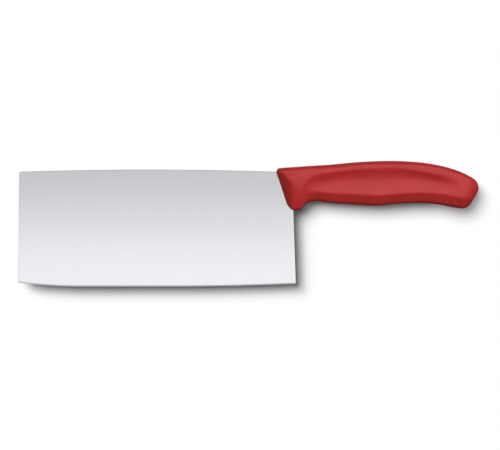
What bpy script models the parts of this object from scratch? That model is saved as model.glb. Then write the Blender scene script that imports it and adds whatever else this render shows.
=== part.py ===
"""A Chinese chef's knife: a broad rectangular blade whose tang sits in a moulded handle.

+X runs from the blade's tip to the handle's butt, +Y from the cutting edge to the spine, and +Z up, out of the
knife's side. The knife lies on its other side, so the handle touches Z = 0 and the blade is level above it. The
origin is under the middle of the knife's box.

The shapes are drawn in a frame of their own, which an empty then moves to that place: X = 0 and Y = 0 are where
the spine meets the handle's front, and Z = 0 is the middle of the blade's thickness.
"""

import math

import bmesh
import bpy
import numpy as np

# Blade, in metres
EDGE_LENGTH = 0.180
BLADE_HEIGHT = 0.0757
SHEET_THICKNESS = 0.0020
EDGE_THICKNESS = 0.0004
EDGE_ANGLE = math.radians(15.0)
SPINE_ARCH = 0.0014
TIP_RISE = 0.0025
TIP_RISE_LENGTH = 0.042
HEEL_RISE = 0.0018
HEEL_RISE_LENGTH = 0.085
TIP_RAKE = math.radians(0.7)
HEEL_RAKE = math.radians(1.8)
HEEL_SETBACK = 0.0122
TIP_CORNER_RADIUS = 0.0010
BLADE_CHAMFER = 0.0002
BLADE_STATION = 0.006

# Tang, hidden in the handle
TANG_BUTT_DISTANCE = 0.036
TANG_END_RADIUS = 0.004
TANG_HOLE_DIAMETER = 0.0045
TANG_HOLE_COUNT = 3
TANG_HOLE_FRONT_DISTANCE = 0.016
TANG_HOLE_END_DISTANCE = 0.012
TANG_ROOT = 0.003
SHOULDER_FILLET = 0.0015
SHOULDER_OVERLAP = 0.0005

# Handle: a grip moulded over a rigid core, with a recess for the steel
GRIP_WALL = 0.0030
FRONT_WALL = 0.0085
BUTT_WALL = 0.0060
CORE_COVER = 0.0030
CLEARANCE = 0.0003
LIP_HEIGHT = 0.0008
FRONT_SLOPE = 1.75
FRONT_RISE = 0.0045
FRONT_ZONE = 0.026
BUTT_ROUNDING = 0.0040
BUTT_SIDE_ROUNDING = 0.0085

# The handle's key sections from front to butt: the back's X and Y, the belly's X and Y, and the half width
HANDLE_SECTIONS = {
    "front": (-0.0006, 0.0003, 0.0064, -0.0212, 0.0092),
    "lip": (0.0004, 0.0020, 0.0079, -0.0232, 0.0093),
    "corner": (0.0018, 0.0024, 0.0097, -0.0246, 0.0094),
    "guard": (0.0045, 0.0027, 0.0125, -0.0250, 0.0096),
    "guard_rear": (0.0095, 0.00305, 0.0159, -0.0240, 0.0100),
    "finger_rise": (0.0145, 0.0034, 0.0189, -0.0206, 0.0102),
    "neck": (0.0220, 0.0039, 0.0238, -0.0190, 0.0103),
    "fore_grip": (0.0330, 0.0046, 0.0330, -0.0199, 0.0104),
    "palm_front": (0.0520, 0.0063, 0.0510, -0.0213, 0.0105),
    "palm": (0.0680, 0.00705, 0.0640, -0.0220, 0.0106),
    "waist_front": (0.0840, 0.0068, 0.0790, -0.0207, 0.0105),
    "waist": (0.0990, 0.0053, 0.0930, -0.0202, 0.0104),
    "hook_front": (0.1120, 0.0024, 0.1050, -0.0212, 0.0105),
    "hook": (0.1215, -0.0012, 0.1145, -0.0231, 0.0107),
    "butt_corner": (0.1279, -0.0049, 0.1195, -0.0237, 0.0107),
    "butt": (0.1319, -0.0092, 0.1232, -0.0242, 0.0105),
}

# The handle's cross-section: a rounded back, a bevel along the belly, and how both fade into the front
BACK_RADIUS = 0.012
BACK_SLOPE = 5.0
BACK_CREASE = 0.0085
BELLY_BEVEL = 0.0071
NECK_BEVEL = 0.0016
BELLY_ANGLE = math.radians(34)
BELLY_ROUND = 0.0014
SIDE_CREASE = 0.0009
SOFT_CREASE = 0.0060
SOFT_FALL = 0.5
SOFT_FROM = 0.004
SOFT_TO = 0.022
DROOP = 0.0024
DROOP_CREST = 0.5
DROOP_FROM = 0.012
DROOP_TO = 0.052
REAR_CROWN = 0.0026
CROWN_FROM = 0.106
CROWN_SPAN = 0.020

# The shallow recess in each of the handle's sides
RECESS_DEPTH = 0.0026
RECESS_LIP = 0.0014
RECESS_FLOOR = 0.04
RECESS_FROM_BACK = 0.0055
RECESS_TURN = 0.0016
TURN_FROM = 0.072
TURN_SPAN = 0.034
RECESS_FROM_BELLY = 0.0060
RECESS_FRONT = 0.0165
RECESS_NOSE = 0.019
RECESS_CORNER = -0.30
RECESS_CREST = 0.65
RECESS_RAMP = 0.016
RECESS_REAR = 0.128
RECESS_FADE = 0.036

# How finely the curved surfaces are divided
FRONT_STATION = 0.0015
GRIP_STATION = 0.0032
CORE_STATION = 0.007
GRIP_SIDES = 24
CORE_SIDES = 12
ROUNDING_STEPS = 7
ARC_STEP = math.radians(22.5)
CUT_OVERRUN = 0.005
MERGE_DISTANCE = 0.00001
SLIVER_HEIGHT = 0.0000001
SMOOTH_ANGLE = math.radians(28)

STEEL_COLOUR = (0.72, 0.73, 0.75)
GRIP_COLOUR = (0.53, 0.035, 0.04)
CORE_COLOUR = (0.45, 0.03, 0.035)


# Shared shapes

def clear_scene():
    for thing in list(bpy.data.objects):
        bpy.data.objects.remove(thing)


def new_collection(name):
    group = bpy.data.collections.new(name)
    bpy.context.scene.collection.children.link(group)
    return group


def new_material(name, colour, metallic, roughness):
    material = bpy.data.materials.new(name)
    material.use_nodes = True
    shader = material.node_tree.nodes["Principled BSDF"]
    shader.inputs["Base Color"].default_value = (*colour, 1.0)
    shader.inputs["Metallic"].default_value = metallic
    shader.inputs["Roughness"].default_value = roughness
    return material


def place(name, mesh, group, frame):
    made = bpy.data.objects.new(name, mesh)
    group.objects.link(made)
    made.parent = frame
    return made


def shade(mesh):
    mesh.shade_smooth()
    mesh.set_sharp_from_angle(angle=SMOOTH_ANGLE)


def spread(start, end, step):
    """Even places from start to end, about a step apart, without the end."""
    count = max(1, round((end - start) / step))
    return list(np.linspace(start, end, count, endpoint=False))


def smooth_step(share):
    held = np.clip(share, 0.0, 1.0)
    return held * held * (3 - 2 * held)


def smooth_min(a, b, blend):
    overlap = np.clip(blend - np.abs(a - b), 0.0, None)
    return np.minimum(a, b) - overlap**2 / (4 * blend)


def curve_through(stations, values):
    """A smooth curve through the values at those stations, as a function of the station."""
    slopes = np.gradient(values, stations, axis=0)

    def at(station):
        i = int(np.clip(np.searchsorted(stations, station) - 1, 0, len(stations) - 2))
        width = stations[i + 1] - stations[i]
        t = (station - stations[i]) / width
        start, end = 2 * t**3 - 3 * t**2 + 1, 3 * t**2 - 2 * t**3
        leave, arrive = t**3 - 2 * t**2 + t, t**3 - t**2
        bend = leave * slopes[i] + arrive * slopes[i + 1]
        return start * values[i] + end * values[i + 1] + width * bend

    return at


def mirrored_loft(name, sections, group, frame):
    """A solid through half sections, each from its back edge round the +Z side to its front edge, and mirrored."""
    mesh = bmesh.new()
    rings = [[mesh.verts.new(point) for point in section] for section in sections]
    for ring, after in zip(rings, rings[1:]):
        for j in range(len(ring) - 1):
            mesh.faces.new((ring[j], ring[j + 1], after[j + 1], after[j]))
    mesh.faces.new(reversed(rings[0]))
    mesh.faces.new(rings[-1])
    data = bpy.data.meshes.new(name)
    mesh.to_mesh(data)
    mesh.free()
    shade(data)
    made = place(name, data, group, frame)
    mirror = made.modifiers.new("other_side", "MIRROR")
    mirror.use_axis = (False, False, True)
    mirror.merge_threshold = MERGE_DISTANCE
    return made


def rounded(corners):
    """The outline through corners (x, y, radius), with an arc at each corner that has a radius."""
    outline = []
    for i, (x, y, radius) in enumerate(corners):
        here = np.array((x, y))
        if radius <= 0:
            outline.append(here)
            continue
        before = np.array(corners[i - 1][:2]) - here
        after = np.array(corners[(i + 1) % len(corners)][:2]) - here
        before /= np.linalg.norm(before)
        after /= np.linalg.norm(after)
        half_angle = math.acos(np.clip(before @ after, -1, 1)) / 2
        middle = (before + after) / np.linalg.norm(before + after)
        centre = here + middle * radius / math.sin(half_angle)
        start = here + before * radius / math.tan(half_angle) - centre
        end = here + after * radius / math.tan(half_angle) - centre
        turn = math.atan2(start[0] * end[1] - start[1] * end[0], start @ end)
        steps = max(1, math.ceil(abs(turn) / ARC_STEP))
        for k in range(steps + 1):
            angle = turn * k / steps
            across = np.array((-start[1], start[0]))
            outline.append(centre + start * math.cos(angle) + across * math.sin(angle))
    return outline


def circle(x, y, radius):
    steps = round(2 * math.pi / ARC_STEP)
    angles = [2 * math.pi * k / steps for k in range(steps)]
    return [(x + radius * math.cos(a), y + radius * math.sin(a)) for a in angles]


def flat_plate(name, outline, holes, thickness, group, frame):
    """A plate with its middle at Z = 0, with this outline and these holes."""
    curve = bpy.data.curves.new(name, "CURVE")
    curve.dimensions = "2D"
    curve.fill_mode = "BOTH"
    curve.extrude = thickness / 2
    for loop in [outline, *holes]:
        spline = curve.splines.new("POLY")
        spline.points.add(len(loop) - 1)
        spline.use_cyclic_u = True
        for point, (x, y) in zip(spline.points, loop):
            point.co = (x, y, 0.0, 1.0)
    drawn = bpy.data.objects.new(name + "_outline", curve)
    group.objects.link(drawn)
    drawn.parent = frame
    evaluated = drawn.evaluated_get(bpy.context.evaluated_depsgraph_get())
    data = bpy.data.meshes.new_from_object(evaluated)
    mesh = bmesh.new()
    mesh.from_mesh(data)
    bmesh.ops.remove_doubles(mesh, verts=mesh.verts, dist=MERGE_DISTANCE)
    bmesh.ops.dissolve_degenerate(mesh, dist=SLIVER_HEIGHT, edges=mesh.edges)
    bmesh.ops.recalc_face_normals(mesh, faces=mesh.faces)
    mesh.to_mesh(data)
    mesh.free()
    shade(data)
    made = place(name, data, group, frame)
    made.matrix_world = drawn.matrix_world
    bpy.data.objects.remove(drawn)
    return made


def combine(target, other, operation):
    change = target.modifiers.new(other.name, "BOOLEAN")
    change.operation = operation
    change.object = other
    other.hide_render = True
    other.display_type = "WIRE"


# Blade

EDGE_LOW = SPINE_ARCH - BLADE_HEIGHT
FLANK_TAPER = (SHEET_THICKNESS - EDGE_THICKNESS) / 2 / BLADE_HEIGHT


def heel_x(y):
    return HEEL_SETBACK - (y - EDGE_LOW) * math.tan(HEEL_RAKE)


def tip_x(y):
    return HEEL_SETBACK - EDGE_LENGTH + (y - EDGE_LOW) * math.tan(TIP_RAKE)


def spine_y(x):
    middle = tip_x(0) / 2
    return SPINE_ARCH * (1 - ((x - middle) / middle) ** 2)


def edge_y(x):
    to_tip = np.clip(1 - (x - tip_x(EDGE_LOW)) / TIP_RISE_LENGTH, 0, 1)
    to_heel = np.clip(1 - (heel_x(EDGE_LOW) - x) / HEEL_RISE_LENGTH, 0, 1)
    return EDGE_LOW + TIP_RISE * to_tip**2 + HEEL_RISE * to_heel**2


def flank_half_thickness(y):
    return EDGE_THICKNESS / 2 + (y - EDGE_LOW) * FLANK_TAPER


def blade_half_section(from_tip):
    """The blade's upper half at one station, from the middle of its spine down its flank to the cutting edge."""
    share = from_tip / EDGE_LENGTH
    end_cut = max(0.0, BLADE_CHAMFER - min(from_tip, EDGE_LENGTH - from_tip))

    def point(y, half_thickness):
        return (tip_x(y) * (1 - share) + heel_x(y) * share, y, half_thickness)

    def flank(y):
        full = flank_half_thickness(y)
        return full - min(end_cut, full / 2)

    top = spine_y(point(0, 0)[0])
    if from_tip < TIP_CORNER_RADIUS:
        reach = TIP_CORNER_RADIUS - from_tip
        top -= TIP_CORNER_RADIUS - math.sqrt(TIP_CORNER_RADIUS**2 - reach**2)
    edge = edge_y(point(EDGE_LOW, 0)[0])
    bevel = math.tan(EDGE_ANGLE)
    bevel_top = (edge * bevel + flank_half_thickness(0)) / (bevel - FLANK_TAPER)
    return [
        point(top, 0.0),
        point(top, flank(top) - BLADE_CHAMFER),
        point(top - BLADE_CHAMFER, flank(top - BLADE_CHAMFER)),
        point(bevel_top, flank(bevel_top)),
        point(edge, 0.0),
    ]


def blade_stations():
    corner = [TIP_CORNER_RADIUS * (1 - math.cos(k * ARC_STEP)) for k in range(round(math.pi / 2 / ARC_STEP))]
    places = corner + [BLADE_CHAMFER]
    places += spread(TIP_CORNER_RADIUS, TIP_RISE_LENGTH, BLADE_STATION / 2)
    places += spread(TIP_RISE_LENGTH, EDGE_LENGTH - BLADE_CHAMFER, BLADE_STATION)
    places += [EDGE_LENGTH - BLADE_CHAMFER, EDGE_LENGTH]
    return sorted(set(places))


# Tang

HANDLE_ROWS = np.array(list(HANDLE_SECTIONS.values()))
HIDDEN_COVER = GRIP_WALL + CLEARANCE + CORE_COVER
TANG_TOP = HANDLE_SECTIONS["neck"][1] - HIDDEN_COVER
TANG_BOTTOM = HANDLE_SECTIONS["neck"][3] + HIDDEN_COVER
SHOULDER_RADIUS = min(SHOULDER_FILLET, -TANG_TOP - SHOULDER_OVERLAP)
TANG_END = (HANDLE_SECTIONS["butt"][0] + HANDLE_SECTIONS["butt"][2]) / 2 - TANG_BUTT_DISTANCE


def tang_holes(radius):
    first = heel_x(TANG_TOP) + TANG_HOLE_FRONT_DISTANCE
    last = TANG_END - TANG_HOLE_END_DISTANCE
    middle = (TANG_TOP + TANG_BOTTOM) / 2
    return [circle(x, middle, radius) for x in np.linspace(first, last, TANG_HOLE_COUNT)]


def tang_outline():
    """The tang, with a fillet where each of its long sides meets the blade's rear end."""
    flare = SHOULDER_RADIUS + SHOULDER_OVERLAP / 2
    high, low = TANG_TOP + flare, TANG_BOTTOM - flare
    inside = heel_x(low) - TANG_ROOT
    return rounded(
        [
            (inside, low, 0),
            (heel_x(low) - SHOULDER_OVERLAP, low, 0),
            (heel_x(TANG_BOTTOM) - SHOULDER_OVERLAP, TANG_BOTTOM, SHOULDER_RADIUS),
            (TANG_END, TANG_BOTTOM, TANG_END_RADIUS),
            (TANG_END, TANG_TOP, TANG_END_RADIUS),
            (heel_x(TANG_TOP) - SHOULDER_OVERLAP, TANG_TOP, SHOULDER_RADIUS),
            (heel_x(high) - SHOULDER_OVERLAP, high, 0),
            (inside, high, 0),
        ]
    )


def steel_recess_outline():
    """The room that the tang and the blade's rear end take in the handle, with the clearance all round."""
    top = CLEARANCE
    under = HANDLE_ROWS[:, 3].min() - CUT_OVERRUN
    high, low = TANG_TOP + CLEARANCE, TANG_BOTTOM - CLEARANCE
    end = TANG_END + CLEARANCE
    return rounded(
        [
            (-CUT_OVERRUN, under, 0),
            (heel_x(under) + CLEARANCE, under, 0),
            (heel_x(low) + CLEARANCE, low, SHOULDER_RADIUS - CLEARANCE),
            (end, low, TANG_END_RADIUS + CLEARANCE),
            (end, high, TANG_END_RADIUS + CLEARANCE),
            (heel_x(high) + CLEARANCE, high, SHOULDER_RADIUS - CLEARANCE),
            (heel_x(top) + CLEARANCE, top, 0),
            (-CUT_OVERRUN, top, 0),
        ]
    )


# Handle

CENTRES = (HANDLE_ROWS[:, 0:2] + HANDLE_ROWS[:, 2:4]) / 2
STATIONS = np.concatenate([[0.0], np.cumsum(np.linalg.norm(np.diff(CENTRES, axis=0), axis=1))])
HANDLE_END = STATIONS[-1]
HANDLE_AT = curve_through(STATIONS, HANDLE_ROWS)
FRONT_POINT = HANDLE_ROWS[0, 0:2]
FRONT_LINE = (HANDLE_ROWS[0, 2:4] - FRONT_POINT) / np.linalg.norm(HANDLE_ROWS[0, 2:4] - FRONT_POINT)
FRONT_NORMAL = np.array((-FRONT_LINE[1], FRONT_LINE[0]))
FRONT_LIP = SHEET_THICKNESS / 2 + LIP_HEIGHT


def rounded_edge(distance, width):
    """The height this far in from a rounded edge, as a share of the height beyond its width."""
    away = np.clip(distance / width, 0, 1)
    return math.sqrt(1 - (1 - away) ** 2)


def back_wall(distance):
    """The handle's rounded back, as the height this far in from its edge."""
    return math.sqrt((BACK_SLOPE * distance) ** 2 + 2 * BACK_RADIUS * distance)


def with_front(side, behind_front, height):
    """The side's height with the front on it: a wall, taller near the back, and a slope up into the side."""
    wall = FRONT_LIP + FRONT_RISE * smooth_step(height)
    if side <= wall:
        return side
    return smooth_min(side, wall + FRONT_SLOPE * behind_front, side - wall)


def recess_share(x, height):
    """How far the side's recess has set in: 0 before its curved nose and behind its end, 1 between them."""
    climb = np.clip((height - RECESS_CORNER) / (RECESS_CREST - RECESS_CORNER), 0, 1)
    nose = RECESS_FRONT + RECESS_NOSE * (1 - math.sqrt(1 - climb**2))
    into = np.clip((x - nose) / RECESS_RAMP, 0, 1)
    return (1 - (1 - into) ** 2) * smooth_step((RECESS_REAR - x) / RECESS_FADE)


def recess_depth(x, height, half_height):
    """The full recess's depth: down a wall below the back to its floor, then part of the way up to its lip."""
    above_floor = (height - RECESS_FLOOR) * half_height
    if above_floor > 0:
        from_back = RECESS_FROM_BACK + RECESS_TURN * smooth_step((x - TURN_FROM) / TURN_SPAN)
        wall = (1 - RECESS_FLOOR) * half_height - from_back
        return RECESS_DEPTH * (1 - (above_floor / wall) ** 2)
    slope = (1 + RECESS_FLOOR) * half_height - RECESS_FROM_BELLY
    return RECESS_DEPTH - RECESS_LIP * (above_floor / slope) ** 2


def side_height(x, height, half_height, half_width):
    """How far the handle's side is from the knife's middle plane, at a height from -1 at the belly to 1."""
    settled = smooth_step((x - SOFT_FROM) / (SOFT_TO - SOFT_FROM))
    neck = 1 - smooth_step((x - DROOP_FROM) / (DROOP_TO - DROOP_FROM))
    crown = REAR_CROWN * smooth_step((x - CROWN_FROM) / CROWN_SPAN)
    crest = half_width - DROOP * neck * max(0.0, DROOP_CREST - height) ** 2 - crown * height**2
    share = recess_share(x, height)
    side = smooth_min(crest, crest - share * recess_depth(x, height, half_height), SIDE_CREASE)
    lip = half_width - share * (RECESS_DEPTH - RECESS_LIP)
    fall = math.tan(BELLY_ANGLE) * (SOFT_FALL + (1 - SOFT_FALL) * settled)
    bevel = lip - (BELLY_BEVEL + NECK_BEVEL * neck - (1 + height) * half_height) * fall
    return smooth_min(bevel, side, SOFT_CREASE + (SIDE_CREASE - SOFT_CREASE) * settled)


def butt_inset(station, rounding):
    """How far a rounding of this radius at the butt draws the surface in at this station."""
    reach = max(0.0, rounding - (HANDLE_END - station))
    return rounding - math.sqrt(rounding**2 - reach**2)


def handle_half_section(station, wall, sides):
    """The handle's upper half at one station, round from back to belly, this far under the grip's surface."""
    row = HANDLE_AT(station)
    back, belly, half_width = row[0:2], row[2:4], row[4]
    inset = wall + butt_inset(station, BUTT_ROUNDING)
    side_inset = wall + butt_inset(station, BUTT_SIDE_ROUNDING)
    half_height = np.linalg.norm(back - belly) / 2
    up = (back - belly) / (2 * half_height)
    points = []
    for k in range(sides + 1):
        height = math.cos(math.pi * k / sides)
        x, y = (back + belly) / 2 + up * height * (half_height - inset)
        behind_front = (np.array((x, y)) - FRONT_POINT) @ FRONT_NORMAL
        side = side_height(x, height, half_height, half_width)
        side = smooth_min(back_wall((1 - height) * half_height), side, min(BACK_CREASE, side))
        z = with_front(side, behind_front, height)
        z *= rounded_edge((1 + height) * half_height, BELLY_ROUND)
        z *= (half_width - side_inset) / half_width
        points.append((x, y, z))
    return points


def grip_stations():
    rounding = [math.sin(math.pi / 2 * k / ROUNDING_STEPS) for k in range(ROUNDING_STEPS + 1)]
    return (
        spread(0, FRONT_ZONE, FRONT_STATION)
        + spread(FRONT_ZONE, HANDLE_END - BUTT_SIDE_ROUNDING, GRIP_STATION)
        + [HANDLE_END - BUTT_SIDE_ROUNDING * (1 - share) for share in rounding]
    )


def core_stations(clearance):
    start, end = FRONT_WALL + clearance, HANDLE_END - BUTT_WALL - clearance
    return spread(start, end, CORE_STATION) + [end]


# Pieces

def make_blade(parts, cutters, frame):
    sections = [blade_half_section(station) for station in blade_stations()]
    blade = mirrored_loft("blade", sections, parts, frame)
    holes = tang_holes(TANG_HOLE_DIAMETER / 2)
    tang = flat_plate("tang_blank", tang_outline(), holes, SHEET_THICKNESS, cutters, frame)
    combine(blade, tang, "UNION")
    blade.data.materials.append(new_material("steel", STEEL_COLOUR, 1.0, 0.25))
    return blade


def make_core(parts, steel_recess, frame):
    wall = GRIP_WALL + CLEARANCE
    sections = [handle_half_section(s, wall, CORE_SIDES) for s in core_stations(CLEARANCE)]
    core = mirrored_loft("handle_core", sections, parts, frame)
    combine(core, steel_recess, "DIFFERENCE")
    core.data.materials.append(new_material("rigid_plastic", CORE_COLOUR, 0.0, 0.5))
    return core


def make_grip(parts, cutters, steel_recess, frame):
    sections = [handle_half_section(s, 0.0, GRIP_SIDES) for s in grip_stations()]
    grip = mirrored_loft("handle_grip", sections, parts, frame)
    hollow = [handle_half_section(s, GRIP_WALL, CORE_SIDES) for s in core_stations(0.0)]
    combine(grip, mirrored_loft("core_recess", hollow, cutters, frame), "DIFFERENCE")
    combine(grip, steel_recess, "DIFFERENCE")
    grip.data.materials.append(new_material("soft_plastic", GRIP_COLOUR, 0.0, 0.55))
    return grip


def corners_of(objects):
    """The lowest and the highest corner of the box round these objects, with their modifiers."""
    depsgraph = bpy.context.evaluated_depsgraph_get()
    points = []
    for thing in objects:
        evaluated = thing.evaluated_get(depsgraph)
        points += [evaluated.matrix_world @ vertex.co for vertex in evaluated.data.vertices]
    return np.min(points, axis=0), np.max(points, axis=0)


def main():
    clear_scene()
    frame = bpy.data.objects.new("knife_frame", None)
    bpy.context.scene.collection.objects.link(frame)
    parts = new_collection("chefs_knife")
    cutters = new_collection("cutters")
    recess_thickness = SHEET_THICKNESS + 2 * CLEARANCE
    pin_holes = tang_holes(TANG_HOLE_DIAMETER / 2 - CLEARANCE)
    steel_recess = flat_plate(
        "steel_recess", steel_recess_outline(), pin_holes, recess_thickness, cutters, frame
    )
    pieces = [
        make_blade(parts, cutters, frame),
        make_core(parts, steel_recess, frame),
        make_grip(parts, cutters, steel_recess, frame),
    ]
    low, high = corners_of(pieces)
    frame.location = (-(low[0] + high[0]) / 2, -(low[1] + high[1]) / 2, -low[2])


main()
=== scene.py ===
"""The looks of a Chinese chef's knife that lies on its side: satin steel, a red handle and a white floor.

The handle's outer form is drawn by the same rule and from the same sizes as the construction, only finer.
It is drawn in a frame of its own, in metres: X = 0 and Y = 0 are where the spine meets the handle's front,
and Z = 0 is the middle of the blade's thickness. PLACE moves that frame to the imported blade.
"""

import math

import bmesh
import bpy
import numpy as np
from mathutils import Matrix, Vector


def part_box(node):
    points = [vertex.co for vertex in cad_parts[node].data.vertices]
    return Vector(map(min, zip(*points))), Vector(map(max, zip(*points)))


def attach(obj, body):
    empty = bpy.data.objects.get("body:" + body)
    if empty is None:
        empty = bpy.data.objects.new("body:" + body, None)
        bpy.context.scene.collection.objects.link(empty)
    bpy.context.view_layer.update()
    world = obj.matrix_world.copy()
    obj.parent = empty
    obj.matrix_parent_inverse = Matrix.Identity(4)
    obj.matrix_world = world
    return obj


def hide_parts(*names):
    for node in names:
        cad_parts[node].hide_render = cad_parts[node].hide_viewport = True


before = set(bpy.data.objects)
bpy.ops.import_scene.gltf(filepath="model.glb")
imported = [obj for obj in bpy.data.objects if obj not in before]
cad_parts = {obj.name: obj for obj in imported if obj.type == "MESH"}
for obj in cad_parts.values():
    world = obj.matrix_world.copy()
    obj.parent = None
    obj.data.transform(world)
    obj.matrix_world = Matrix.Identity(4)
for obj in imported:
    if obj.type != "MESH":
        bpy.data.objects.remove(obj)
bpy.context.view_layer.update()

# Blade, as built
EDGE_LENGTH = 0.180
BLADE_HEIGHT = 0.0757
SHEET_THICKNESS = 0.0020
EDGE_THICKNESS = 0.0004
SPINE_ARCH = 0.0014
TIP_RISE = 0.0025
TIP_RAKE = math.radians(0.7)
HEEL_RAKE = math.radians(1.8)
HEEL_SETBACK = 0.0122
EDGE_LOW = SPINE_ARCH - BLADE_HEIGHT

# Handle, as built
GRIP_WALL = 0.0030
FRONT_WALL = 0.0085
BUTT_WALL = 0.0060
CORE_COVER = 0.0030
CLEARANCE = 0.0003
LIP_HEIGHT = 0.0008
FRONT_SLOPE = 1.75
FRONT_RISE = 0.0045
BUTT_ROUNDING = 0.0040
BUTT_SIDE_ROUNDING = 0.0085

# The handle's key sections from front to butt: the back's X and Y, the belly's X and Y, and the half width
HANDLE_SECTIONS = {
    "front": (-0.0006, 0.0003, 0.0064, -0.0212, 0.0092),
    "lip": (0.0004, 0.0020, 0.0079, -0.0232, 0.0093),
    "corner": (0.0018, 0.0024, 0.0097, -0.0246, 0.0094),
    "guard": (0.0045, 0.0027, 0.0125, -0.0250, 0.0096),
    "guard_rear": (0.0095, 0.00305, 0.0159, -0.0240, 0.0100),
    "finger_rise": (0.0145, 0.0034, 0.0189, -0.0206, 0.0102),
    "neck": (0.0220, 0.0039, 0.0238, -0.0190, 0.0103),
    "fore_grip": (0.0330, 0.0046, 0.0330, -0.0199, 0.0104),
    "palm_front": (0.0520, 0.0063, 0.0510, -0.0213, 0.0105),
    "palm": (0.0680, 0.00705, 0.0640, -0.0220, 0.0106),
    "waist_front": (0.0840, 0.0068, 0.0790, -0.0207, 0.0105),
    "waist": (0.0990, 0.0053, 0.0930, -0.0202, 0.0104),
    "hook_front": (0.1120, 0.0024, 0.1050, -0.0212, 0.0105),
    "hook": (0.1215, -0.0012, 0.1145, -0.0231, 0.0107),
    "butt_corner": (0.1279, -0.0049, 0.1195, -0.0237, 0.0107),
    "butt": (0.1319, -0.0092, 0.1232, -0.0242, 0.0105),
}

# The handle's cross-section: a rounded back, a bevel along the belly, and how both fade into the front
BACK_RADIUS = 0.012
BACK_SLOPE = 5.0
BACK_CREASE = 0.0085
BELLY_BEVEL = 0.0071
NECK_BEVEL = 0.0016
BELLY_ANGLE = math.radians(34)
BELLY_ROUND = 0.0014
SIDE_CREASE = 0.0009
SOFT_CREASE = 0.0060
SOFT_FALL = 0.5
SOFT_FROM = 0.004
SOFT_TO = 0.022
DROOP = 0.0024
DROOP_CREST = 0.5
DROOP_FROM = 0.012
DROOP_TO = 0.052
REAR_CROWN = 0.0026
CROWN_FROM = 0.106
CROWN_SPAN = 0.020

# The shallow recess in each of the handle's sides
RECESS_DEPTH = 0.0026
RECESS_LIP = 0.0014
RECESS_FLOOR = 0.04
RECESS_FROM_BACK = 0.0055
RECESS_TURN = 0.0016
TURN_FROM = 0.072
TURN_SPAN = 0.034
RECESS_FROM_BELLY = 0.0060
RECESS_FRONT = 0.0165
RECESS_NOSE = 0.019
RECESS_CORNER = -0.30
RECESS_CREST = 0.65
RECESS_RAMP = 0.016
RECESS_REAR = 0.128
RECESS_FADE = 0.036

# What only the dressed handle has
HUG = 0.00004
FRONT_ROUNDING = 0.0004
FINE_STATION = 0.0007
CORNER_STATION = 0.0003
CORNER_ZONE = 0.006
FINE_SIDES = 56
INNER_STATION = 0.0040
INNER_SIDES = 12
ROUNDING_STEPS = 16
SMOOTH_ANGLE = math.radians(35)

# Noise: the values that it mostly stays between, and the features in a metre of each pattern
NOISE_RANGE = (0.3, 0.7)
TWO_NOISES_RANGE = (0.7, 1.3)
GRAIN_SCALE = 1100
CLOUD_SCALE = 60
CORE_GRAIN_SCALE = 1200
GRINDING_LINES = (5200.0, 45.0, 45.0)

# Surfaces
RED = (0.50, 0.0225, 0.0205)
DARK_RED = (0.44, 0.0198, 0.0180)
LIGHT_RED = (0.56, 0.0252, 0.0230)
RED_ROUGHNESS = (0.44, 0.56)
RED_SPECULAR = 0.3
GRAIN_STRENGTH = 0.5
GRAIN_DEPTH = 0.0003
CORE_RED = (0.45, 0.03, 0.035)
CORE_ROUGHNESS = (0.40, 0.50)
STEEL = (0.755, 0.762, 0.788)
STEEL_ROUGHNESS = (0.16, 0.22)
LINE_STRENGTH = 0.12
LINE_DEPTH = 0.00001
GRIND_RADIUS = 0.48

# Camera
METRES_PER_PIXEL = 0.000648
PHOTO_WIDTH = 500
PHOTO_MIDDLE = (-0.01756, -0.03441)
CAMERA_HEIGHT = 0.9
SENSOR = 36.0

# Floor, with its colour by what sees it
FLOOR_SIZE = 20.0
FLOOR_SEEN = (0.95, 0.95, 0.95)
FLOOR_MIRRORED = (0.15, 0.15, 0.15)
FLOOR_BOUNCED = (0.14, 0.14, 0.14)

# Background, and the dim light from all round that matt surfaces get
WHITE = (1.0, 1.0, 1.0)
AMBIENT = (0.08, 0.08, 0.08)

# The studio that the steel mirrors: its brightness by a direction's Z, times a share by the direction's Y
STUDIO_LEVELS = ((0.0, 0.28), (0.16, 0.42), (0.50, 0.80), (0.80, 0.60), (0.98, 1.0))
STUDIO_SIDES = ((-0.70, 0.95), (-0.22, 1.24), (0.22, 0.74), (0.75, 1.15))

# Suns: strength, breadth in degrees, and the direction towards each
OVERHEAD_SUN = (2.27, 60, (0.13, 0.27, 1.0))
SIDE_SUN = (0.66, 50, (0.3, 0.9, 0.4))
FLOOR_SUN = (2.67, 37.5, (-0.41, 0.41, 1.0))
LOW_FLOOR_SUN = (1.02, 27, (-0.89, 0.89, 1.0))
FLOOR_FILL = (0.20, 60, (0.0, 0.0, 1.0))


# Shared shapes

def smooth_step(share):
    held = np.clip(share, 0.0, 1.0)
    return held * held * (3 - 2 * held)


def smooth_min(a, b, blend):
    overlap = np.clip(blend - np.abs(a - b), 0.0, None)
    return np.minimum(a, b) - overlap**2 / (4 * blend)


def curve_through(stations, values):
    """A smooth curve through the values at those stations, as a function of the station."""
    slopes = np.gradient(values, stations, axis=0)

    def at(station):
        i = int(np.clip(np.searchsorted(stations, station) - 1, 0, len(stations) - 2))
        width = stations[i + 1] - stations[i]
        t = (station - stations[i]) / width
        start, end = 2 * t**3 - 3 * t**2 + 1, 3 * t**2 - 2 * t**3
        leave, arrive = t**3 - 2 * t**2 + t, t**3 - t**2
        bend = leave * slopes[i] + arrive * slopes[i + 1]
        return start * values[i] + end * values[i + 1] + width * bend

    return at


def spread(start, end, step):
    """Even places from start to end, about a step apart, without the end."""
    count = max(1, round((end - start) / step))
    return list(np.linspace(start, end, count, endpoint=False))


def heel_x(y):
    return HEEL_SETBACK - (y - EDGE_LOW) * math.tan(HEEL_RAKE)


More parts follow.
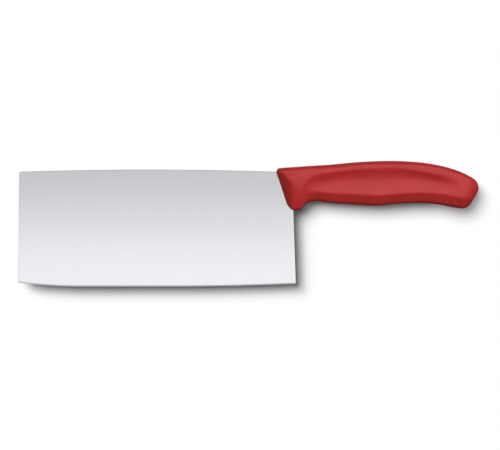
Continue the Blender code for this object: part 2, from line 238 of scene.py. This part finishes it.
def flank_half_thickness(y):
    return (EDGE_THICKNESS + (y - EDGE_LOW) * (SHEET_THICKNESS - EDGE_THICKNESS) / BLADE_HEIGHT) / 2


def place_of_drawing():
    """Where the drawing frame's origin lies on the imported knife."""
    low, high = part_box("blade")
    tip = HEEL_SETBACK - EDGE_LENGTH + TIP_RISE * math.tan(TIP_RAKE)
    return Vector((low.x - tip, low.y - EDGE_LOW, (low.z + high.z) / 2))


PLACE = place_of_drawing()


def mesh_object(name, mesh):
    made = bpy.data.objects.new(name, mesh)
    bpy.context.scene.collection.objects.link(made)
    return made


def lofted(name, rings):
    """A closed solid through rings of points, in the knife's frame."""
    mesh = bmesh.new()
    rows = [[mesh.verts.new(Vector(point) + PLACE) for point in ring] for ring in rings]
    for row, after in zip(rows, rows[1:]):
        for j, vertex in enumerate(row):
            mesh.faces.new((vertex, after[j], after[j - 1], row[j - 1]))
    mesh.faces.new(rows[0])
    mesh.faces.new(reversed(rows[-1]))
    bmesh.ops.recalc_face_normals(mesh, faces=mesh.faces)
    data = bpy.data.meshes.new(name)
    mesh.to_mesh(data)
    mesh.free()
    return mesh_object(name, data)


def cut_away(target, cutters):
    """Takes the cutters' shapes out of the target's mesh and removes the cutters."""
    for cutter in cutters:
        cut = target.modifiers.new(cutter.name, "BOOLEAN")
        cut.operation = "DIFFERENCE"
        cut.object = cutter
    evaluated = target.evaluated_get(bpy.context.evaluated_depsgraph_get())
    finished = bpy.data.meshes.new_from_object(evaluated)
    target.modifiers.clear()
    target.data = finished
    for cutter in cutters:
        bpy.data.objects.remove(cutter)


def shade(mesh):
    mesh.shade_smooth()
    mesh.set_sharp_from_angle(angle=SMOOTH_ANGLE)


# Handle

ROWS = np.array(list(HANDLE_SECTIONS.values()))
CENTRES = (ROWS[:, 0:2] + ROWS[:, 2:4]) / 2
STATIONS = np.concatenate([[0.0], np.cumsum(np.linalg.norm(np.diff(CENTRES, axis=0), axis=1))])
HANDLE_END = STATIONS[-1]
HANDLE_AT = curve_through(STATIONS, ROWS)
FRONT_POINT = ROWS[0, 0:2]
FRONT_LINE = (ROWS[0, 2:4] - FRONT_POINT) / np.linalg.norm(ROWS[0, 2:4] - FRONT_POINT)
FRONT_NORMAL = np.array((-FRONT_LINE[1], FRONT_LINE[0]))
FRONT_LIP = SHEET_THICKNESS / 2 + LIP_HEIGHT


def rounded_edge(distance, width):
    """The height this far in from a rounded edge, as a share of the height beyond its width."""
    away = np.clip(distance / width, 0, 1)
    return math.sqrt(1 - (1 - away) ** 2)


def back_wall(distance):
    """The handle's rounded back, as the height this far in from its edge."""
    return math.sqrt((BACK_SLOPE * distance) ** 2 + 2 * BACK_RADIUS * distance)


def with_front(side, behind_front, height):
    """The side's height with the front on it: a wall, taller near the back, and a slope up into the side."""
    wall = FRONT_LIP + FRONT_RISE * smooth_step(height)
    if side <= wall:
        return side
    return smooth_min(side, wall + FRONT_SLOPE * behind_front, side - wall)


def recess_share(x, height):
    """How far the side's recess has set in: 0 before its curved nose and behind its end, 1 between them."""
    climb = np.clip((height - RECESS_CORNER) / (RECESS_CREST - RECESS_CORNER), 0, 1)
    nose = RECESS_FRONT + RECESS_NOSE * (1 - math.sqrt(1 - climb**2))
    into = np.clip((x - nose) / RECESS_RAMP, 0, 1)
    return (1 - (1 - into) ** 2) * smooth_step((RECESS_REAR - x) / RECESS_FADE)


def recess_depth(x, height, half_height):
    """The full recess's depth: down a wall below the back to its floor, then partly up to its lip."""
    above_floor = (height - RECESS_FLOOR) * half_height
    if above_floor > 0:
        from_back = RECESS_FROM_BACK + RECESS_TURN * smooth_step((x - TURN_FROM) / TURN_SPAN)
        wall = (1 - RECESS_FLOOR) * half_height - from_back
        return RECESS_DEPTH * (1 - (above_floor / wall) ** 2)
    slope = (1 + RECESS_FLOOR) * half_height - RECESS_FROM_BELLY
    return RECESS_DEPTH - RECESS_LIP * (above_floor / slope) ** 2


def side_height(x, height, half_height, half_width):
    """How far the handle's side is from the knife's middle plane, at a height from -1 at the belly to 1."""
    settled = smooth_step((x - SOFT_FROM) / (SOFT_TO - SOFT_FROM))
    neck = 1 - smooth_step((x - DROOP_FROM) / (DROOP_TO - DROOP_FROM))
    crown = REAR_CROWN * smooth_step((x - CROWN_FROM) / CROWN_SPAN)
    crest = half_width - DROOP * neck * max(0.0, DROOP_CREST - height) ** 2 - crown * height**2
    share = recess_share(x, height)
    side = smooth_min(crest, crest - share * recess_depth(x, height, half_height), SIDE_CREASE)
    lip = half_width - share * (RECESS_DEPTH - RECESS_LIP)
    fall = math.tan(BELLY_ANGLE) * (SOFT_FALL + (1 - SOFT_FALL) * settled)
    bevel = lip - (BELLY_BEVEL + NECK_BEVEL * neck - (1 + height) * half_height) * fall
    return smooth_min(bevel, side, SOFT_CREASE + (SIDE_CREASE - SOFT_CREASE) * settled)


def rounding_inset(distance, radius):
    """How far a rounded end draws the surface in, this far from the end."""
    reach = max(0.0, radius - distance)
    return radius - math.sqrt(radius**2 - reach**2)


def handle_ring(station, wall, sides, rounded_front):
    """The handle's section at one station, from the back round both sides, this far under its surface."""
    row = HANDLE_AT(station)
    back, belly, half_width = row[0:2], row[2:4], row[4]
    front_inset = rounding_inset(station, FRONT_ROUNDING) if rounded_front else 0.0
    inset = wall + front_inset + rounding_inset(HANDLE_END - station, BUTT_ROUNDING)
    side_inset = wall + front_inset + rounding_inset(HANDLE_END - station, BUTT_SIDE_ROUNDING)
    half_height = np.linalg.norm(back - belly) / 2
    up = (back - belly) / (2 * half_height)
    half = []
    for k in range(sides + 1):
        height = math.cos(math.pi * k / sides)
        x, y = (back + belly) / 2 + up * height * (half_height - inset)
        behind_front = (np.array((x, y)) - FRONT_POINT) @ FRONT_NORMAL
        side = side_height(x, height, half_height, half_width)
        side = smooth_min(back_wall((1 - height) * half_height), side, min(BACK_CREASE, side))
        z = with_front(side, behind_front, height)
        z *= rounded_edge((1 + height) * half_height, BELLY_ROUND)
        z *= (half_width - side_inset) / half_width
        half.append((x, y, z))
    return half + [(x, y, -z) for x, y, z in reversed(half[1:-1])]


def handle_stations():
    turns = [math.sin(math.pi / 2 * k / ROUNDING_STEPS) for k in range(ROUNDING_STEPS + 1)]
    front = [FRONT_ROUNDING * (1 - turn) for turn in reversed(turns)]
    rear = [HANDLE_END - BUTT_SIDE_ROUNDING * (1 - turn) for turn in turns]
    fine = spread(front[-1], CORNER_ZONE, CORNER_STATION)[1:]
    return front + fine + spread(CORNER_ZONE, rear[0], FINE_STATION) + rear


def prism(name, outline, half_thickness):
    """A solid with this outline, as thick at each point as half_thickness says of its Y."""
    upper = [(x, y, half_thickness(y)) for x, y in outline]
    lower = [(x, y, -half_thickness(y)) for x, y in outline]
    return lofted(name, [upper, lower])


def blade_slot():
    """The room for the blade's rear end, which the handle closes round."""
    under, top = ROWS[:, 3].min() - GRIP_WALL, HUG
    outline = [
        (-GRIP_WALL, under),
        (heel_x(under) + HUG, under),
        (heel_x(top) + HUG, top),
        (-GRIP_WALL, top),
    ]
    return prism("blade_slot", outline, lambda y: flank_half_thickness(y) + HUG)


def tang_slot():
    """The room for the tang between the blade's rear end and the hollow."""
    cover = GRIP_WALL + CLEARANCE + CORE_COVER
    top = HANDLE_SECTIONS["neck"][1] - cover + 2 * CLEARANCE
    bottom = HANDLE_SECTIONS["neck"][3] + cover - 2 * CLEARANCE
    start, end = heel_x(0) - GRIP_WALL, heel_x(0) + 2 * FRONT_WALL
    outline = [(start, bottom), (end, bottom), (end, top), (start, top)]
    return prism("tang_slot", outline, lambda y: SHEET_THICKNESS / 2 + CLEARANCE)


def make_handle():
    rings = [handle_ring(s, 0.0, FINE_SIDES, True) for s in handle_stations()]
    handle = lofted("handle", rings)
    inner_end = HANDLE_END - BUTT_WALL
    inner = [
        handle_ring(s, GRIP_WALL, INNER_SIDES, False)
        for s in spread(FRONT_WALL, inner_end, INNER_STATION) + [inner_end]
    ]
    cut_away(handle, [lofted("hollow", inner), blade_slot(), tang_slot()])
    shade(handle.data)
    handle.data.materials.clear()
    handle.data.materials.append(red_plastic())
    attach(handle, "root")
    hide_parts("handle_grip")
    return handle


# Materials

def principled(name, colour, metallic, roughness):
    material = bpy.data.materials.new(name)
    material.use_nodes = True
    tree = material.node_tree
    shader = tree.nodes["Principled BSDF"]
    shader.inputs["Base Color"].default_value = (*colour, 1.0)
    shader.inputs["Metallic"].default_value = metallic
    shader.inputs["Roughness"].default_value = roughness
    return material, tree, shader


def noise(tree, scale, detail, stretch=(1.0, 1.0, 1.0)):
    """Noise in the object's own metres, with this many features in a metre along each axis."""
    place = tree.nodes.new("ShaderNodeTexCoord")
    mapping = tree.nodes.new("ShaderNodeMapping")
    mapping.inputs["Scale"].default_value = stretch
    texture = tree.nodes.new("ShaderNodeTexNoise")
    texture.inputs["Scale"].default_value = scale
    texture.inputs["Detail"].default_value = detail
    tree.links.new(place.outputs["Object"], mapping.inputs["Vector"])
    tree.links.new(mapping.outputs["Vector"], texture.inputs["Vector"])
    return texture.outputs["Fac"]


def mapped(tree, value, from_range, to_range):
    """The value, moved and held from one range to the other."""
    node = tree.nodes.new("ShaderNodeMapRange")
    node.inputs["From Min"].default_value = from_range[0]
    node.inputs["From Max"].default_value = from_range[1]
    node.inputs["To Min"].default_value = to_range[0]
    node.inputs["To Max"].default_value = to_range[1]
    tree.links.new(value, node.inputs["Value"])
    return node.outputs["Result"]


def combined(tree, operation, first, second, clamp=False):
    """Two numbers put together, and held between 0 and 1 if clamp is set."""
    node = tree.nodes.new("ShaderNodeMath")
    node.operation = operation
    node.use_clamp = clamp
    tree.links.new(first, node.inputs[0])
    tree.links.new(second, node.inputs[1])
    return node.outputs["Value"]


def bumped(tree, height, strength, distance, normal=None):
    node = tree.nodes.new("ShaderNodeBump")
    node.inputs["Strength"].default_value = strength
    node.inputs["Distance"].default_value = distance
    tree.links.new(height, node.inputs["Height"])
    if normal is not None:
        tree.links.new(normal, node.inputs["Normal"])
    return node.outputs["Normal"]


def feed(tree, socket, value):
    """Gives a socket a number or a colour, or links it to another node's output."""
    if isinstance(value, bpy.types.NodeSocket):
        tree.links.new(value, socket)
    elif isinstance(value, tuple):
        socket.default_value = (*value, 1.0)
    else:
        socket.default_value = value


def mixed(tree, share, colour_a, colour_b, blend_type="MIX"):
    node = tree.nodes.new("ShaderNodeMix")
    node.data_type = "RGBA"
    node.blend_type = blend_type
    feed(tree, node.inputs["Factor"], share)
    feed(tree, node.inputs["A"], colour_a)
    feed(tree, node.inputs["B"], colour_b)
    return node.outputs["Result"]


def red_plastic():
    """Moulded plastic with a fine grain, mottled a little by the grain and by a broader cloud."""
    material, tree, shader = principled("red_plastic", RED, metallic=0.0, roughness=0.5)
    shader.inputs["Specular IOR Level"].default_value = RED_SPECULAR
    grain = noise(tree, GRAIN_SCALE, detail=2)
    cloud = noise(tree, CLOUD_SCALE, detail=2)
    mottle = mapped(tree, combined(tree, "ADD", cloud, grain), TWO_NOISES_RANGE, (0.0, 1.0))
    tree.links.new(mixed(tree, mottle, DARK_RED, LIGHT_RED), shader.inputs["Base Color"])
    tree.links.new(mapped(tree, grain, NOISE_RANGE, RED_ROUGHNESS), shader.inputs["Roughness"])
    tree.links.new(bumped(tree, grain, GRAIN_STRENGTH, GRAIN_DEPTH), shader.inputs["Normal"])
    return material


def core_plastic():
    material, tree, shader = principled("core_plastic", CORE_RED, metallic=0.0, roughness=0.45)
    grain = noise(tree, CORE_GRAIN_SCALE, detail=2)
    tree.links.new(mapped(tree, grain, NOISE_RANGE, CORE_ROUGHNESS), shader.inputs["Roughness"])
    return material


def ground_normal(tree):
    """The blade's normal, bent as a convex grind of this radius bends it from the spine to the edge."""
    place = tree.nodes.new("ShaderNodeTexCoord")
    parts = tree.nodes.new("ShaderNodeSeparateXYZ")
    tree.links.new(place.outputs["Object"], parts.inputs[0])
    middle = PLACE.y + EDGE_LOW / 2
    half = BLADE_HEIGHT / 2
    tilt = half / GRIND_RADIUS
    lean = mapped(tree, parts.outputs["Y"], (middle - half, middle + half), (-tilt, tilt))
    bend = tree.nodes.new("ShaderNodeCombineXYZ")
    tree.links.new(lean, bend.inputs["Y"])
    surface = tree.nodes.new("ShaderNodeNewGeometry")
    added = tree.nodes.new("ShaderNodeVectorMath")
    tree.links.new(surface.outputs["Normal"], added.inputs[0])
    tree.links.new(bend.outputs["Vector"], added.inputs[1])
    unit = tree.nodes.new("ShaderNodeVectorMath")
    unit.operation = "NORMALIZE"
    tree.links.new(added.outputs["Vector"], unit.inputs[0])
    return unit.outputs["Vector"]


def satin_steel():
    """Steel with fine grinding lines that run from the spine to the edge."""
    material, tree, shader = principled("satin_steel", STEEL, metallic=1.0, roughness=0.2)
    lines = noise(tree, 1.0, detail=3, stretch=GRINDING_LINES)
    tree.links.new(mapped(tree, lines, NOISE_RANGE, STEEL_ROUGHNESS), shader.inputs["Roughness"])
    normal = bumped(tree, lines, LINE_STRENGTH, LINE_DEPTH, ground_normal(tree))
    tree.links.new(normal, shader.inputs["Normal"])
    return material


# Stage

def make_floor():
    """A floor that is white to the camera, and dimmer to what mirrors it or is lit by it."""
    mesh = bmesh.new()
    bmesh.ops.create_grid(mesh, x_segments=1, y_segments=1, size=FLOOR_SIZE)
    data = bpy.data.meshes.new("floor")
    mesh.to_mesh(data)
    mesh.free()
    floor = mesh_object("floor", data)
    material = bpy.data.materials.new("white_floor")
    material.use_nodes = True
    tree = material.node_tree
    tree.nodes.clear()
    output = tree.nodes.new("ShaderNodeOutputMaterial")
    diffuse = tree.nodes.new("ShaderNodeBsdfDiffuse")
    seen = tree.nodes.new("ShaderNodeLightPath")
    dim = mixed(tree, seen.outputs["Is Diffuse Ray"], FLOOR_MIRRORED, FLOOR_BOUNCED)
    colour = mixed(tree, seen.outputs["Is Camera Ray"], dim, FLOOR_SEEN)
    tree.links.new(colour, diffuse.inputs["Color"])
    tree.links.new(diffuse.outputs["BSDF"], output.inputs["Surface"])
    floor.data.materials.append(material)
    return floor


def grey_ramp(tree, value, levels, interpolation):
    """The grey that these places and levels give for the value."""
    ramp = tree.nodes.new("ShaderNodeValToRGB")
    ramp.color_ramp.interpolation = interpolation
    stops = ramp.color_ramp.elements
    while len(stops) < len(levels):
        stops.new(0.5)
    for stop, (at, level) in zip(stops, levels):
        stop.position = at
        stop.color = (level, level, level, 1.0)
    tree.links.new(value, ramp.inputs["Fac"])
    return ramp.outputs["Color"]


def pale_studio(tree):
    """How bright the studio is in each direction."""
    place = tree.nodes.new("ShaderNodeTexCoord")
    parts = tree.nodes.new("ShaderNodeSeparateXYZ")
    tree.links.new(place.outputs["Generated"], parts.inputs[0])
    levels = grey_ramp(tree, parts.outputs["Z"], STUDIO_LEVELS, "LINEAR")
    across = mapped(tree, parts.outputs["Y"], (-1.0, 1.0), (0.0, 1.0))
    sides = grey_ramp(tree, across, [((at + 1) / 2, level) for at, level in STUDIO_SIDES], "EASE")
    return mixed(tree, 1.0, levels, sides, "MULTIPLY")


def make_world():
    """White behind all, an even dim light for matt surfaces, and a pale studio for what mirrors it."""
    world = bpy.data.worlds.new("studio")
    bpy.context.scene.world = world
    world.use_nodes = True
    tree = world.node_tree
    seen = tree.nodes.new("ShaderNodeLightPath")
    glossy, bounces = seen.outputs["Is Glossy Ray"], seen.outputs["Diffuse Depth"]
    only_mirrored = combined(tree, "SUBTRACT", glossy, bounces, clamp=True)
    light = mixed(tree, only_mirrored, AMBIENT, pale_studio(tree))
    colour = mixed(tree, seen.outputs["Is Camera Ray"], light, WHITE)
    tree.links.new(colour, tree.nodes["Background"].inputs["Color"])


def collection_of(name, thing):
    made = bpy.data.collections.new(name)
    made.objects.link(thing)
    return made


def make_sun(name, energy, degrees, towards_sun, lit, shaded_by=None):
    """A broad sun that lights only this object, with the shadows of all the others or of one thing."""
    light = bpy.data.lights.new(name, "SUN")
    light.energy = energy
    light.angle = math.radians(degrees)
    sun = bpy.data.objects.new(name, light)
    bpy.context.scene.collection.objects.link(sun)
    sun.rotation_euler = Vector(towards_sun).to_track_quat("Z", "Y").to_euler()
    sun.light_linking.receiver_collection = collection_of(name + "_lights", lit)
    if shaded_by is not None:
        sun.light_linking.blocker_collection = collection_of(name + "_shaded_by", shaded_by)


def make_camera():
    data = bpy.data.cameras.new("camera")
    camera = bpy.data.objects.new("camera", data)
    bpy.context.scene.collection.objects.link(camera)
    data.sensor_width = SENSOR
    data.lens = SENSOR * CAMERA_HEIGHT / (PHOTO_WIDTH * METRES_PER_PIXEL)
    camera.location = PLACE + Vector((*PHOTO_MIDDLE, CAMERA_HEIGHT))
    bpy.context.scene.camera = camera


def dress_cad(node, material):
    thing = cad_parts[node]
    thing.data.materials.clear()
    thing.data.materials.append(material)


def main():
    bpy.context.scene.view_settings.view_transform = "Standard"
    make_camera()
    make_world()
    handle = make_handle()
    make_sun("overhead", *OVERHEAD_SUN, handle)
    make_sun("side", *SIDE_SUN, handle)
    floor = make_floor()
    make_sun("floor_sun", *FLOOR_SUN, floor)
    make_sun("low_floor_sun", *LOW_FLOOR_SUN, floor, shaded_by=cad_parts["blade"])
    # Only the floor can block the fill, so the fill casts no shadow
    make_sun("floor_fill", *FLOOR_FILL, floor, shaded_by=floor)
    dress_cad("blade", satin_steel())
    dress_cad("handle_core", core_plastic())


main()
